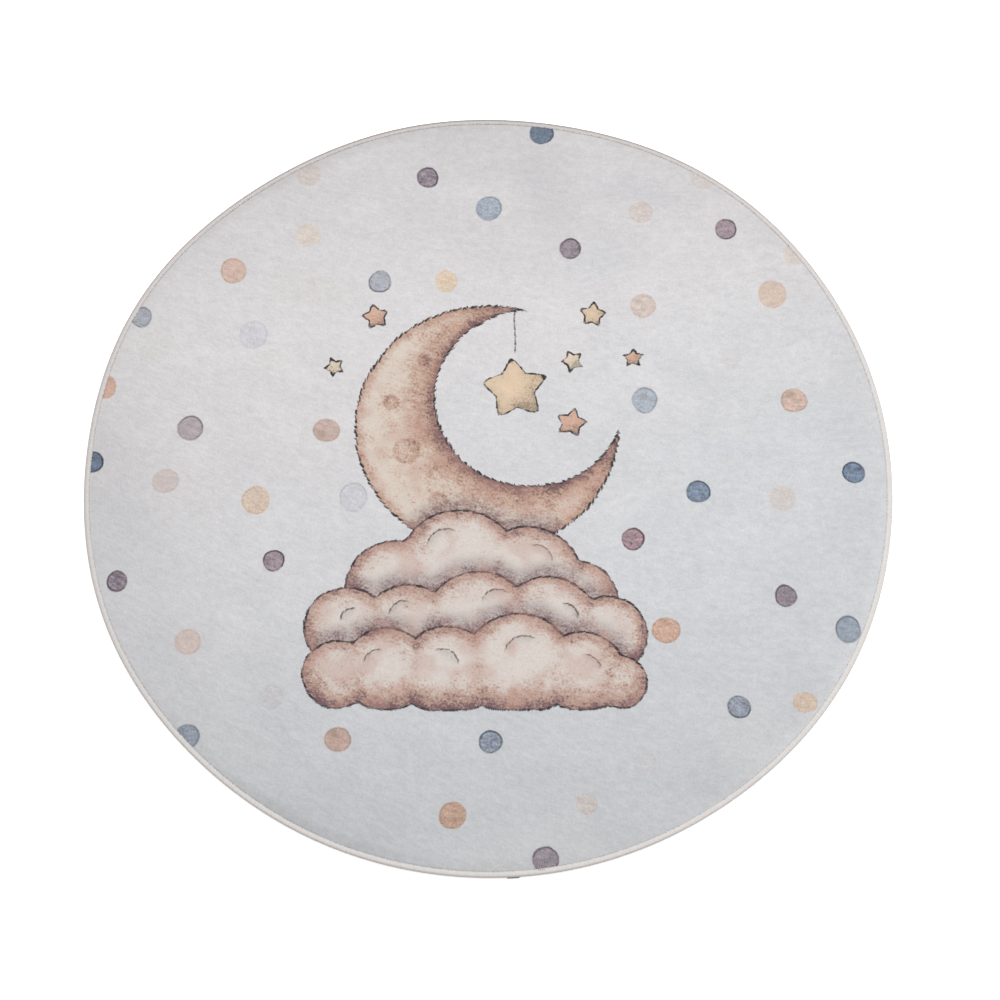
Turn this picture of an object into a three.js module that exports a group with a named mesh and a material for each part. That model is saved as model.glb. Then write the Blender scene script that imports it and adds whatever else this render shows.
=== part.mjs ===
// A round rug for a child's room: one disc of short-pile printed cloth, and the overlocked yarn that binds its edge.
// Millimetres, +Z up. The origin is on the floor under the middle of the rug, and +Y points to the print's top.

import * as THREE from "three";

// Overall size
const RUG_RADIUS = 600;
const SIDES_ROUND = 120;

// Cloth, as heights above the floor and distances in from the rug's outermost edge
const CLOTH_HEIGHT = 6.2;
const RIM_THICKNESS = 3.0;
const RIM_INSET = 2.0;
const RIM_END_INSET = 7.0;
const RIM_RISE = 0.4;
const PILE_SHOULDER_INSET = 9.9;
const LIFT_START_INSET = 10.8;
const LIFT_END_INSET = 8.1;

// Edge binding: yarn that wraps the rim from the top, round the side and back below it
const BINDING_HEIGHT = 8.0;
const BINDING_WIDTH = 8.8;
const CROWN_INSET = 4.3;
const WIDEST_HEIGHT = 3.4;
const FLOOR_CONTACT_INSET = 2.2;
const UNDER_YARN_THICKNESS = 1.0;
const UNDER_YARN_INSET = 7.5;
const INNER_EDGE_HEIGHT = 6.1;
const CURVE_STEPS = 4;

// Clearance between the cloth and the yarn round it
const GAP = 0.3;

// The cut edge wanders a little from a true circle. Each row is one slow wave round the rug: how many times
// it repeats, its height in millimetres, and the angle in degrees from +X to one of its crests.
const OUTLINE_WAVES = [
  { repeats: 3, height: 1.8, crest: 47 },
  { repeats: 4, height: 1.4, crest: -35 },
  { repeats: 5, height: 0.6, crest: -18 },
  { repeats: 6, height: 0.9, crest: 33 },
  { repeats: 7, height: 0.8, crest: 0 },
  { repeats: 8, height: 0.8, crest: 15 },
];

const MATERIALS = {
  cloth: new THREE.MeshStandardMaterial({ color: "#d6d6d8", roughness: 0.95, metalness: 0 }),
  yarn: new THREE.MeshStandardMaterial({ color: "#e4e1db", roughness: 0.85, metalness: 0 }),
};

// A point of a section: so far in from the outermost edge, and so high above the floor.
function sectionPoint(inset, height) {
  return new THREE.Vector2(RUG_RADIUS - inset, height);
}

// The outline's distance from a true circle at an angle, as a share of the rug's radius.
function outlineShare(angle) {
  const millimetres = OUTLINE_WAVES.reduce((sum, wave) => {
    const fromCrest = angle - THREE.MathUtils.degToRad(wave.crest);
    return sum + wave.height * Math.cos(wave.repeats * fromCrest);
  }, 0);
  return millimetres / RUG_RADIUS;
}

// Turns a section once round the rug's upright axis, on the uneven outline.
function sweepRound(section) {
  const geometry = new THREE.LatheGeometry(section, SIDES_ROUND);
  geometry.rotateX(Math.PI / 2);
  const position = geometry.getAttribute("position");
  for (let i = 0; i < position.count; i += 1) {
    const x = position.getX(i);
    const y = position.getY(i);
    const stretch = 1 + outlineShare(Math.atan2(y, x));
    position.setXY(i, x * stretch, y * stretch);
  }
  return geometry;
}

// The cloth's section, from the middle of its underside, round its squeezed rim, to the middle of its top.
function clothSection() {
  const rimBottom = UNDER_YARN_THICKNESS + GAP;
  const rimTop = rimBottom + RIM_THICKNESS;
  return [
    new THREE.Vector2(0, 0),
    sectionPoint(LIFT_START_INSET, 0),
    sectionPoint(LIFT_END_INSET, rimBottom),
    sectionPoint(RIM_INSET, rimBottom),
    sectionPoint(RIM_INSET, rimTop),
    sectionPoint(RIM_END_INSET, rimTop + RIM_RISE),
    sectionPoint(PILE_SHOULDER_INSET, CLOTH_HEIGHT),
    new THREE.Vector2(0, CLOTH_HEIGHT),
  ];
}

// The binding's section, a C that lies open towards the middle of the rug and holds the rim.
function bindingSection() {
  const wallInset = RIM_INSET - GAP;
  const slotTop = UNDER_YARN_THICKNESS + 2 * GAP + RIM_THICKNESS;
  const path = new THREE.Path();
  const moveTo = (inset, height) => path.moveTo(RUG_RADIUS - inset, height);
  const lineTo = (inset, height) => path.lineTo(RUG_RADIUS - inset, height);
  const curveTo = (pullInset, pullHeight, inset, height) =>
    path.quadraticCurveTo(RUG_RADIUS - pullInset, pullHeight, RUG_RADIUS - inset, height);
  moveTo(UNDER_YARN_INSET, 0);
  lineTo(FLOOR_CONTACT_INSET, 0);
  curveTo(0, 0, 0, WIDEST_HEIGHT);
  curveTo(0, BINDING_HEIGHT, CROWN_INSET, BINDING_HEIGHT);
  curveTo(BINDING_WIDTH - GAP, BINDING_HEIGHT, BINDING_WIDTH, INNER_EDGE_HEIGHT);
  lineTo(RIM_END_INSET, slotTop + RIM_RISE + GAP / 3);
  lineTo(wallInset, slotTop);
  lineTo(wallInset, UNDER_YARN_THICKNESS);
  lineTo(UNDER_YARN_INSET, UNDER_YARN_THICKNESS);
  lineTo(UNDER_YARN_INSET, 0);
  return path.getPoints(CURVE_STEPS);
}

function namedMesh(name, section, material) {
  const mesh = new THREE.Mesh(sweepRound(section), material);
  mesh.name = name;
  return mesh;
}

const rug = new THREE.Group();
const cloth = namedMesh("pile_cloth", clothSection(), MATERIALS.cloth);
const binding = namedMesh("edge_binding", bindingSection(), MATERIALS.yarn);
rug.add(cloth, binding);

// The uneven outline leaves the rug's box off the axis by a fraction of a millimetre: centre it on the origin.
const middle = new THREE.Box3().setFromObject(binding).getCenter(new THREE.Vector3());
rug.position.set(-middle.x, -middle.y, 0);

export default rug;
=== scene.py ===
"""A round kids rug: short-pile printed cloth with an overlocked yarn edge, lying flat on a pale floor.

Everything is in metres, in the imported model's own frame: +Z up, the floor at zero, +Y to the print's top.
The print is a pale watercolour ground, scattered dots, and a crescent moon on clouds among stars.
"""

import math
from collections import namedtuple

import bpy
import numpy as np
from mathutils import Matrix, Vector


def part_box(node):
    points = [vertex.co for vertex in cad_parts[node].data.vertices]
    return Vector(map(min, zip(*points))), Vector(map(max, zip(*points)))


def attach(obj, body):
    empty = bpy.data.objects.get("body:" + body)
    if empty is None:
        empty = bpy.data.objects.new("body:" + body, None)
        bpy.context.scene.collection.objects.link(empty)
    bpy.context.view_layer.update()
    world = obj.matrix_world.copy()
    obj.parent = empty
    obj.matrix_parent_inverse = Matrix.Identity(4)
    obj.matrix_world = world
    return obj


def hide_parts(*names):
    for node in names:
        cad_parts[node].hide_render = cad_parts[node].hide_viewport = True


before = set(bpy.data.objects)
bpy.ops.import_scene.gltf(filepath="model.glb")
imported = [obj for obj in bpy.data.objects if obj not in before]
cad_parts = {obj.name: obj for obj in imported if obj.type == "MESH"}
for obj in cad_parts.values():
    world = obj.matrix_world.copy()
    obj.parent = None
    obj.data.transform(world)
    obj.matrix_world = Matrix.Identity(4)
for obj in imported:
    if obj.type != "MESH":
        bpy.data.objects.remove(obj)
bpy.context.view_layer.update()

MM = 0.001
TURN = 2 * math.pi


def table(fields, *rows):
    """Rows whose columns go by these names."""
    kind = namedtuple("Row", fields)
    return [kind(*row) for row in rows]


def section(*points):
    """Points given in millimetres: how far in from the rug's outer edge, and how high above the floor."""
    return table("inset height", *np.array(points) * MM)


def paint(code, strength=1.0):
    """A colour from its code in a paint chart, in the renderer's own light values."""
    parts = [int(code[i:i + 2], 16) / 255 for i in (1, 3, 5)]
    linear = [p / 12.92 if p <= 0.04045 else ((p + 0.055) / 1.055) ** 2.4 for p in parts]
    return (*linear, strength)


def paints(codes):
    """Paints by their names."""
    return {name: paint(code) for name, code in codes.items()}


Disc = namedtuple("Disc", "x y radius")


def discs(*rows):
    """Discs, each from its middle and its radius in millimetres."""
    return [Disc(*row) for row in rows]


# Camera, as a studio shot from above the lower edge of the print
CAMERA_LENS_MM = 85.0
CAMERA_SENSOR_MM = 36.0
CAMERA_DISTANCE = 3.486
CAMERA_ELEVATION = math.radians(69.47)
CAMERA_AIM = (0.0173, -0.0361, 0.0)

# Room
FLOOR_SIZE = 60.0
FLOOR_DROP = 0.2 * MM
FLOOR_GLOW = 0.4
FLOOR_PAINT = paint("#fafafa")
WHITE = (1.0, 1.0, 1.0, 1.0)
WORLD_STRENGTH = 0.67
KEY_POWER = 40.0
KEY_SIZE = 1.7
KEY_PLACE = (0.35, 0.4, 2.4)

# Outline, read off the model: how many places round the rug are measured, and how many waves fitted
OUTLINE_SECTORS = 120
OUTLINE_WAVES = 8

# Cloth: the rings of its top, and the way of its skin from the shoulder round the rim to the underside
TOP_RINGS = 156
SHOULDER_INSET = 12.8 * MM
CLOTH_RIM = section(
    (11.0, 6.18), (9.9, 6.08), (9.3, 5.80), (8.1, 4.85), (5.0, 4.65), (2.4, 4.40),
    (2.0, 3.90), (2.0, 1.80), (2.4, 1.36), (7.8, 1.30), (9.6, 0.60), (10.8, 0.0),
)
UNDERSIDE_RINGS = (0.9, 0.5)

# Strips of the skin between two points of that way: how many show the print, and how many are mapped with it
PRINTED_STRIPS = 4
STRIPS_ABOVE = 10

# Waves of the cloth's top: shortest and longest in metres, how many, and the height they add up to
SURFACE_WAVES = table(
    "shortest longest count height",
    (0.070, 0.260, 12, 0.30 * MM),
    (0.011, 0.026, 16, 0.10 * MM),
)
SURFACE_SEED = 11
SURFACE_FADE = 12

# Brushed streaks of the nap: level at the top right, and sloping more and more towards the lower left
NAP_SLOPE = 0.25
NAP_BEND = 0.25
NAP_FAN = 0.25
NAP_SWAY = 12 * MM
STREAK_STRETCH = 2.2
BRUSHED_STRETCH = 2.6

# Painted light and shade on the nap beside the binding, by direction in degrees: in the crease, and beyond it
EDGE_LIGHT_AND_SHADE = table(
    "angle crease beyond",
    (0, 0.15, 0.02), (30, 0.07, 0.01), (60, -0.01, -0.03), (90, -0.15, -0.04),
    (120, -0.18, -0.085), (150, 0.02, -0.02), (180, 0.24, -0.04), (210, 0.05, 0.0),
    (240, -0.06, -0.11), (270, 0.01, -0.05), (300, 0.17, 0.02), (330, 0.24, 0.065),
)
CREASE_END = 9.3 * MM
BEYOND_START = 11 * MM
BEYOND_FADE = 16 * MM
BEYOND_END = 28 * MM

# Edge yarn: the way its middle takes over the rim, from the needle hole in the pile to the one underneath
WRAP_WAY = section(
    (8.8, 5.40), (8.4, 6.30), (7.2, 7.05), (5.3, 7.55), (3.1, 7.25),
    (1.3, 6.00), (0.50, 4.10), (1.0, 2.00), (2.9, 0.62), (7.8, 0.62),
)
WRAP_COUNT = 1960
WRAP_SIDES = 5
WRAP_THICKNESS = 0.9 * MM
WRAP_OVERLAP = 1.62
WRAP_SLANT = 1.6
WRAP_JITTER = 0.05
WRAP_LIFT = 0.03 * MM
NEEDLE_JITTER = 0.3 * MM
PULLED_IN = 0.7
PULLED_SHARE = 0.12
YARN_SEED = 23
JOIN_ANGLE = math.radians(-86.6)

# Painted shade on the edge yarn, at the rug's near and far side: all over, in a line outside, and at the
# needle holes
NearFar = namedtuple("NearFar", "near far")
SHADE_ALL_OVER = NearFar(0.06, 0.24)
SHADE_LINE = NearFar(0.55, 1.0)
SHADE_LINE_END = NearFar(2.6 * MM, 5.9 * MM)
SHADE_LINE_SIDEWAYS = 0.55
SHADE_AT_HOLES = NearFar(0.35, -0.10)
HOLE_START = 7.4 * MM
HOLE_END = 8.8 * MM
UNDER_HEIGHT = 2 * MM

# Where that shade eases: by how much, from the join to the middle of the place, and how far it reaches
SHADE_EASE = 0.75
SHADE_EASE_ANGLE = math.radians(77)
SHADE_EASE_REACH = math.radians(45)

# Needle thread: a running line of short stitches over the inner ends of the wraps, by share of a stitch
STITCH_WAY = table(
    "share height",
    (0.02, 6.60 * MM), (0.22, 7.22 * MM), (0.50, 7.36 * MM), (0.78, 7.22 * MM), (0.98, 6.60 * MM),
)
STITCH_COUNT = 1300
STITCH_THICKNESS = 0.45 * MM
STITCH_SIDES = 4
STITCH_INSET = 7.6 * MM
STITCH_JITTER = 0.15 * MM

# Loose end of the edge yarn, tucked against the outside of the join: two plies twisted together
TAIL_LENGTH = 20 * MM
TAIL_PLY_THICKNESS = 1.0 * MM
TAIL_PLY_OFFSET = 0.35 * MM
TAIL_PLIES = (0.0, math.pi)
TAIL_TURNS = 3.5
TAIL_OUTSIDE = 0.3 * MM
TAIL_HEIGHT = 3.2 * MM
TAIL_STEPS = 36
TAIL_SIDES = 6
# Painted shade on the loose end, half way to the flank paint
TAIL_SHADE = 0.5
TAIL_TUCK = table("share inset", (0, 2.5 * MM), (0.12, 0), (0.9, 0), (1, 1.2 * MM))

# Stitches where the yarn was started: a few short threads over the inner side of the edge, into the pile
START_WAY = section((5.4, 8.10), (7.6, 7.80), (9.4, 6.80), (12.0, 6.60), (17.0, 6.55), (18.5, 5.80))
START_STITCHES = 4
START_ANGLE = math.radians(-82.7)
START_SPACING = 2.4 * MM
START_THICKNESS = 0.8 * MM
START_SIDES = 6

# Yarns: paints of their top and of painted shade on their flank, and their fibres' twist in radians a metre
YarnLook = namedtuple("YarnLook", "top flank twist")
YARNS = {
    "edge_binding_yarn": YarnLook(paint("#dbd7d4"), paint("#948a8a"), 2600.0),
    "needle_thread": YarnLook(paint("#d3cfcb"), paint("#948a8a"), 5200.0),
    "start_thread": YarnLook(paint("#b9afb2"), paint("#948a8a"), 5200.0),
    "tucked_yarn": YarnLook(paint("#625c60"), paint("#625c60"), 2600.0),
}

# Bake maps: where the cloth's two faces lie on the unit square, and the margin and the cap in a tube's cell
TOP_CELL = Disc(0.455, 0.545, 0.452)
UNDER_CELL = Disc(0.872, 0.128, 0.125)
CELL_MARGIN = 0.08
CAP_SPOT = Disc(0.04, 0.04, 0.02)

# Noises of the finishes: how large their lumps are, how many finer layers they have, and how rough these are
Noise = namedtuple("Noise", "size detail roughness")
GRAIN = Noise(3.4 * MM, 2.0, 0.6)
TREMBLE = Noise(6 * MM, 1.0, 0.5)
STREAK = Noise(7.5 * MM, 3.0, 0.78)
WANDER = Noise(13 * MM, 2.0, 0.6)
MOTTLE = Noise(36 * MM, 4.0, 0.68)
WOBBLE = Noise(45 * MM, 1.0, 0.5)
BRUSHED = Noise(50 * MM, 3.0, 0.62)
CLOUDY = Noise(70 * MM, 3.0, 0.62)
SLOW = Noise(420 * MM, 2.0, 0.55)
WOBBLE_DRIFT = 6 * MM
TREMBLE_DRIFT = 1.8 * MM

# Threads under the nap: how many times longer than wide, their direction in degrees, and their noise
PILE_THREADS = table("stretch turn noise", (2.4, 8, Noise(1.0, 2.0, 0.55)), (2.6, 94, Noise(1.1, 2.0, 0.55)))
PILE_GRAIN_SIZE = 2.4 * MM
BACKING_GRAIN_SIZE = 1.6 * MM

# Relief of the finishes
PILE_RELIEF = 0.7 * MM
BACKING_RELIEF = 0.5 * MM
YARN_RELIEF = 0.12 * MM

# Ground of the print, and where painted shade darkens it: from and to these metres, by this share of its
# brightness
PRINT_BRIGHTNESS = 0.76
GROUND_PAINTS = paints({"cool": "#dadbde", "warm": "#e2dfe0", "vein": "#bcc1c8"})
BACKING_PAINTS = paints({"hollow": "#bdb8b0", "raised": "#d3cfc8"})
Falloff = namedtuple("Falloff", "start end share")
RIM_SHADE = Falloff(0.36, 0.60, 0.03)
TOP_SHADE = Falloff(0.26, 0.56, 0.05)
FOOT_SHADE = Falloff(-0.16, -0.50, 0.075)

# Inks of the dots
INKS = paints({
    "deep blue": "#67758a",
    "night blue": "#7e8da1",
    "mist blue": "#a8b1be",
    "slate blue": "#949ba9",
    "mauve": "#938790",
    "heather": "#98848d",
    "plum": "#9f8188",
    "lavender": "#c5c4d1",
    "apricot": "#d2af9d",
    "melon": "#d6b599",
    "amber peach": "#d6ab93",
    "rust peach": "#c4a090",
    "clay": "#c5a594",
    "pale peach": "#d4c2b6",
    "rose mist": "#c9c0c4",
    "honey": "#e2cdb6",
    "sand": "#dcc1aa",
})

# Dots: middle, half width and height, ink, how fully it covers, the rim's strength and where it is darkest
DOTS = table(
    "x y wide high ink cover rim dark",
    (82, 574, 18.8, 18.5, "deep blue", 0.92, 0.8, 40),
    (-95, 497, 16.1, 18.7, "mauve", 1.0, 1.0, 30),
    (0, 443, 20.6, 20.6, "mist blue", 0.95, 0.5, 40),
    (125, 373, 16.4, 18.2, "mauve", 0.92, 1.0, 60),
    (235, 435, 18.5, 18.5, "pale peach", 0.5, 0.1, 0),
    (365, 407, 16.4, 17.7, "heather", 0.84, 1.0, -30),
    (331, 494, 18.6, 19.0, "pale peach", 0.3, 0.0, 0),
    (469, 365, 17.0, 19.0, "sand", 0.35, 0.0, 0),
    (432, 296, 22.0, 22.5, "melon", 0.6, 0.1, 0),
    (235, 277, 19.6, 20.5, "pale peach", 0.8, 0.1, 0),
    (457, 121, 20.7, 19.4, "apricot", 0.78, 0.35, 220),
    (234, 121, 18.2, 20.7, "mist blue", 0.82, 0.5, 10),
    (365, 189, 17.0, 18.0, "pale peach", 0.15, 0.0, 0),
    (-166, 317, 17.5, 18.8, "slate blue", 0.66, 0.8, 240),
    (-65, 318, 17.0, 19.0, "honey", 0.95, 0.0, 0),
    (-279, 501, 18.6, 19.5, "pale peach", 0.5, 0.0, 0),
    (-278, 396, 18.5, 19.5, "honey", 0.42, 0.0, 0),
    (-390, 336, 19.8, 21.5, "amber peach", 0.66, 0.3, 200),
    (-527, 258, 15.9, 17.2, "slate blue", 0.65, 0.8, 150),
    (-356, 228, 21.0, 23.0, "lavender", 0.35, 0.1, 0),
    (-444, 76, 18.3, 19.7, "heather", 0.62, 0.7, 60),
    (-574, 143, 16.0, 19.5, "apricot", 0.95, 0.1, 0),
    (-586, 22, 15.6, 16.8, "deep blue", 0.94, 1.0, 10),
    (-477, -9, 19.8, 19.1, "rust peach", 0.34, 0.1, 0),
    (-343, -38, 20.8, 22.0, "sand", 0.78, 0.2, 200),
    (-241, 73, 20.9, 18.3, "rust peach", 0.70, 0.25, 270),
    (-313, -133, 15.4, 16.3, "heather", 0.85, 1.2, 60),
    (-541, -164, 15.2, 16.5, "mauve", 1.0, 0.95, 200),
    (-199, -33, 20.5, 23.5, "lavender", 0.36, 0.3, 100),
    (-433, -257, 19.0, 19.5, "amber peach", 0.42, 0.15, 0),
    (-310, -339, 17.4, 17.8, "rose mist", 0.3, 0.1, 0),
    (-428, -397, 18.5, 19.0, "slate blue", 0.88, 0.5, 0),
    (-213, -402, 19.3, 17.8, "rust peach", 0.80, 0.35, 60),
    (4, -405, 16.8, 16.8, "slate blue", 1.0, 1.0, 80),
    (-49, -511, 19.8, 19.4, "clay", 1.0, 0.3, 200),
    (81, -574, 19.6, 19.0, "mauve", 0.86, 0.75, 80),
    (139, -495, 14.7, 15.0, "pale peach", 0.46, 0.1, 0),
    (222, -436, 17.0, 18.0, "rose mist", 0.15, 0.0, 0),
    (257, -239, 20.6, 19.0, "apricot", 1.0, 0.35, 0),
    (212, -100, 17.4, 16.8, "plum", 0.88, 1.2, 10),
    (310, -26, 17.6, 17.4, "night blue", 0.95, 1.0, 50),
    (433, -36, 20.0, 21.0, "pale peach", 0.45, 0.0, 0),
    (541, 5, 16.8, 16.6, "night blue", 1.0, 1.0, 120),
    (432, -187, 16.4, 16.9, "mauve", 0.95, 0.9, 150),
    (520, -238, 17.8, 21.4, "night blue", 0.7, 0.65, 110),
    (359, -354, 16.3, 16.5, "slate blue", 0.9, 1.0, 270),
    (453, -347, 18.4, 15.6, "sand", 0.8, 0.1, 0),
)

# Small blots where the ink of a dot dried darker
BLOTS = discs((452, 130, 7), (-248, 68, 7), (-220, -395, 8), (232, 128, 5))
BLOT_INK = paint("#94806f")

# The blue and yellow patches are stains in the print; the shade and light ones are partly print mottle,
# partly painted shade and light
# Soft patches of the ground: middle, half width, half height, turn in degrees, ink and strength
PATCH_INKS = paints({"blue": "#c3c8cf", "yellow": "#dbd9cd", "shade": "#bcbec2", "light": "#ecebec"})
FAINTEST_PATCH = 1e-6
SOFT_PATCHES = table(
    "x y wide high turn ink strength",
    (70, 500, 38, 60, 0, "shade", 0.20),
    (108, 440, 42, 55, 0, "shade", 0.18),
    (20, 375, 130, 60, 0, "shade", 0.18),
    (-40, 560, 90, 30, 0, "shade", 0.16),
    (-200, -520, 110, 35, -12, "shade", 0.15),
    (-545, -60, 60, 130, 0, "shade", 0.24),
    (-470, -130, 70, 50, -30, "shade", 0.12),
    (-480, -260, 60, 50, 0, "shade", 0.15),
    (-562, 55, 24, 35, 0, "shade", 0.15),
    (-355, 15, 50, 32, -15, "shade", 0.13),
    (-120, 445, 45, 35, 0, "shade", 0.11),
    (190, 412, 60, 26, 0, "shade", 0.11),
    (0, 512, 60, 26, 0, "shade", 0.11),
    (-400, 240, 110, 90, 0, "light", 0.30),
    (395, 275, 50, 50, 0, "light", 0.20),
    (480, 10, 50, 40, 0, "light", 0.17),
    (400, -410, 80, 60, 0, "light", 0.26),
    (60, -560, 120, 30, 0, "light", 0.18),
    (-490, 205, 55, 45, 0, "light", 0.20),
    (500, 205, 40, 40, 0, "light", 0.18),
    (285, 125, 70, 35, -20, "light", 0.20),
    (500, -225, 32, 26, 0, "light", 0.20),
    (-350, -410, 60, 32, -10, "light", 0.20),
    (130, -533, 45, 32, 0, "light", 0.17),
    (232, 470, 75, 24, -8, "blue", 0.22),
    (172, 350, 45, 34, 30, "blue", 0.24),
    (380, 40, 100, 14, -8, "blue", 0.15),
    (310, 165, 80, 14, -32, "blue", 0.12),
    (400, -165, 100, 28, -15, "blue", 0.12),
    (330, -245, 150, 45, 5, "blue", 0.14),
    (-280, 305, 50, 22, -10, "yellow", 0.30),
    (-335, 185, 22, 22, 0, "yellow", 0.28),
    (-505, 210, 34, 26, 20, "yellow", 0.28),
)

# Picture: a crescent moon and its craters
MOON = Disc(-2, 80, 196)
MOON_BITE = Disc(62, 126, 143)
CRATERS = discs((-122, 40, 20), (-74, -42, 15), (-146, 118, 12), (14, -84, 14), (-98, 186, 10))
MOON_INKS = (paint("#e3d6ca"), paint("#c7a592"), paint("#7d6062"))

# Clouds that the moon rests on, as banks of round lobes from the back to the front, and curls drawn on them
CLOUD_BANKS = [
    discs((-134, -176, 74), (-42, -140, 86), (58, -158, 78), (130, -192, 58)),
    discs((-206, -234, 60), (-116, -238, 68), (-14, -230, 80), (86, -234, 76), (172, -246, 58)),
    discs(
        (-216, -306, 50), (-146, -298, 62), (-58, -302, 68), (44, -292, 78), (136, -302, 60), (190, -318, 38),
    ),
]
CLOUD_FOOT = -358 * MM
CLOUD_MIDDLE = Disc(-18, -420, 260)
CLOUD_INKS = (paint("#e3dad3"), paint("#c6a698"), paint("#7d6166"))
BLUSH = paint("#c99f92")
CURLS = table(
    "x y radius middle",
    (-60, -114, 30, -30), (70, -132, 24, 40), (-196, -224, 18, -40), (-122, -216, 22, -35),
    (16, -202, 26, -20), (110, -218, 20, 45), (-158, -288, 20, -35), (-66, -292, 24, 30),
    (54, -278, 30, -25), (142, -296, 20, 40),
)
CURL_REACH = math.radians(60)

# Stars, the largest first, and the thread that it hangs on
STAR_INKS = paints({"honey": "#dcc5ab", "peach": "#d5b09d", "cream": "#dfcfb9"})
STARS = table(
    "x y size turn ink",
    (40, 140, 60, 6, "honey"), (124, 84, 27, -14, "peach"), (126, 186, 20, 20, "cream"),
    (-172, 258, 24, 12, "peach"), (158, 262, 24, -8, "honey"), (-232, 176, 17, 25, "cream"),
    (218, 190, 17, 0, "peach"),
)
STAR_WAIST = 0.52
STAR_ROUNDNESS = 0.012
THREAD_TOP = 272 * MM
THREAD_FOOT = 200 * MM

# Pencil: its colour, the length of its strokes, and for each line its width and how far a stroke slides
PENCIL = paint("#403a3c")
STROKE_LENGTH = 12 * MM
PencilLine = namedtuple("PencilLine", "width slide")
STAR_LINE = PencilLine(1.5 * MM, 0.7 * MM)
THREAD_LINE = PencilLine(1.5 * MM, 1.0 * MM)
MOON_LINE = PencilLine(2.1 * MM, 3.0 * MM)
CLOUD_LINE = PencilLine(2.1 * MM, 1.4 * MM)
CURL_LINE = PencilLine(1.7 * MM, 1.4 * MM)


def sign(operation, swapped=False):
    """What an arithmetic sign does between a signal and another value: it adds a maths node."""
    def write(signal, other):
        values = (other, signal) if swapped else (signal, other)
        return signal.bench.maths(operation, *values)
    return write


class Signal:
    """One socket of a node tree, on which shader arithmetic is written as plain arithmetic."""

    def __init__(self, bench, socket):
        self.bench = bench
        self.socket = socket

    def __abs__(self):
        return self.bench.maths("ABSOLUTE", self)

    __add__, __radd__ = sign("ADD"), sign("ADD", swapped=True)
    __sub__, __rsub__ = sign("SUBTRACT"), sign("SUBTRACT", swapped=True)
    __mul__, __rmul__ = sign("MULTIPLY"), sign("MULTIPLY", swapped=True)
    __truediv__, __rtruediv__ = sign("DIVIDE"), sign("DIVIDE", swapped=True)


class Bench:
    """A node tree to work on, with short calls for its nodes."""

    def __init__(self, tree):
        self.tree = tree

    def feed(self, socket, value):
        if isinstance(value, Signal):
            self.tree.links.new(value.socket, socket)
        else:
            socket.default_value = value

    def add(self, kind, values=(), **settings):
        """The outputs of a new node with these settings, its inputs fed in order, or by number or name."""
        node = self.tree.nodes.new(kind)
        for name, value in settings.items():
            setattr(node, name, value)
        keyed = values.items() if isinstance(values, dict) else enumerate(values)
        for key, value in keyed:
            self.feed(node.inputs[key], value)
        return [Signal(self, socket) for socket in node.outputs]

    def maths(self, operation, *values):
        return self.add("ShaderNodeMath", values, operation=operation)[0]

    def vector(self, operation, *values):
        return self.add("ShaderNodeVectorMath", values, operation=operation)[0]

    def scaled(self, value, factor):
        """A vector made longer or shorter, or a colour lighter or darker."""
        return self.add("ShaderNodeVectorMath", {0: value, "Scale": factor}, operation="SCALE")[0]

    def length(self, value):
        return self.add("ShaderNodeVectorMath", [value], operation="LENGTH")[1]

    def split(self, value):
        return self.add("ShaderNodeSeparateXYZ", [value])

    def join(self, x, y, z=0.0):
        return self.add("ShaderNodeCombineXYZ", (x, y, z))[0]

    def ramp(self, value, low, high):
        """Zero below low and one above high, with a soft step between. High may be the smaller."""
        return self.add("ShaderNodeMapRange", (value, low, high), interpolation_type="SMOOTHSTEP")[0]

    def shaded(self, value, falloff):
        """The share of brightness that a falloff takes at a value."""
        return self.ramp(value, falloff.start, falloff.end) * falloff.share

    def covered(self, inside):
        """One inside a drawn edge and zero outside it."""
        return self.ramp(inside, -0.8 * MM, 1.0 * MM)

    def mix(self, share, first, second):
        return self.add("ShaderNodeMix", {0: share, 6: first, 7: second}, data_type="RGBA")[2]

    def stretched(self, place, times, turn):
        """A place for patterns that come out so many times longer along a direction in degrees."""
        values = {"Vector": place, "Rotation": (0, 0, math.radians(turn)), "Scale": (times, 1.0, 1.0)}
        return self.add("ShaderNodeMapping", values, vector_type="TEXTURE")[0]

    def noise(self, place, kind):
        """A noise as an amount, and as a colour."""
        values = {"Vector": place, "Scale": 1 / kind.size, "Detail": kind.detail, "Roughness": kind.roughness}
        return self.add("ShaderNodeTexNoise", values)

    def object_place(self):
        return Signal(self, self.tree.nodes.new("ShaderNodeTexCoord").outputs["Object"])

    def held(self, name):
        """The colour, the vector and the strength that the mesh holds under a name."""
        colour, vector, _, strength = self.add("ShaderNodeAttribute", attribute_name=name)
        return colour, vector, strength

    def place_group(self, group, **values):
        """The outputs of a node group. A value's name is its socket's, in lower case."""
        named = {name.capitalize(): value for name, value in values.items()}
        return self.add("ShaderNodeGroup", named, node_tree=group)

    def bump(self, shader, height, distance):
        normal = self.add("ShaderNodeBump", {"Height": height, "Distance": distance})[0]
        self.feed(shader.inputs["Normal"], normal)


def new_group(name, inputs, outputs):
    """A shader node group with named sockets: the group, its bench, its inputs, and a way to its outputs."""
    group = bpy.data.node_groups.new(name, "ShaderNodeTree")
    for label, kind in inputs.items():
        group.interface.new_socket(name=label, in_out="INPUT", socket_type="NodeSocket" + kind)
    for label, kind in outputs.items():
        group.interface.new_socket(name=label, in_out="OUTPUT", socket_type="NodeSocket" + kind)
    bench = Bench(group)
    given = bench.add("NodeGroupInput")[:len(inputs)]
    return group, bench, given, group.nodes.new("NodeGroupOutput").inputs


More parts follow.
